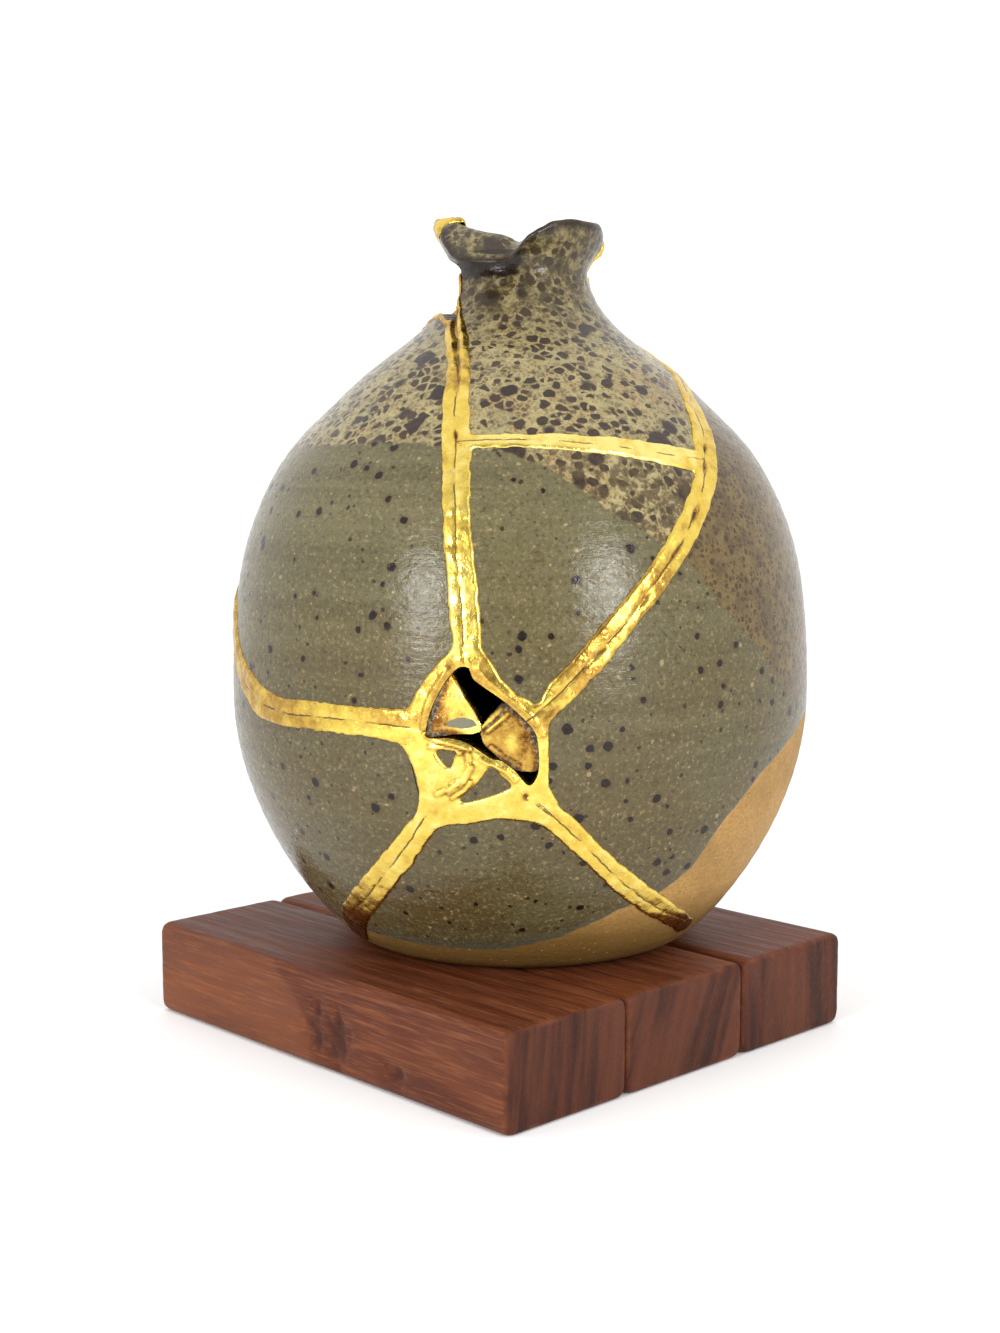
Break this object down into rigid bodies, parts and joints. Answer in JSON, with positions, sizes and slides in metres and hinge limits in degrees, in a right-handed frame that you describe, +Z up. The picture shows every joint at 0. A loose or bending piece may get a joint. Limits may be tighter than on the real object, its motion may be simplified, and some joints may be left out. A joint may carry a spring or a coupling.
{
  "type": "vase",
  "caption": "Round-shouldered stoneware vase with narrow neck and wavy lip, broken and mended with raised gold seams, a hole left in its front, standing on a base of planed boards",
  "frame": {"origin": "middle of the base's underside, on the floor; the vase's axis stands 6.7 mm towards +X and 6.9 mm towards +Y of it", "axes": "+X along the boards, towards the sawn end at the picture's right; +Y across the boards, away from the long-grain side at the picture's left; +Z up"},
  "size_m": [0.2334, 0.2345, 0.3291],
  "materials": {
    "glazed_stoneware": "thrown stoneware: olive-grey and leopard-spot khaki glaze with a soft gloss, bare ochre clay low on one side",
    "gold_lacquer": "gold-dusted lacquer, lumpy and bright, with a fine dark crack along the middle",
    "stained_wood": "planed softwood stained red-brown, with torn grain and knots"
  },
  "bodies": {
    "root": {"neck_shard": "glazed_stoneware", "front_shard": "glazed_stoneware", "left_shoulder_shard": "glazed_stoneware", "body_shard": "glazed_stoneware", "foot_shard": "glazed_stoneware", "fragment_flush_left": "glazed_stoneware", "fragment_flush_right": "glazed_stoneware", "fragment_sunk_left": "gold_lacquer", "fragment_sunk_right": "gold_lacquer", "gold_seams": "gold_lacquer", "gold_lip_tip": "gold_lacquer", "base_board_near": "stained_wood", "base_board_mid": "stained_wood", "base_board_far": "stained_wood"}
  },
  "joints": []
}
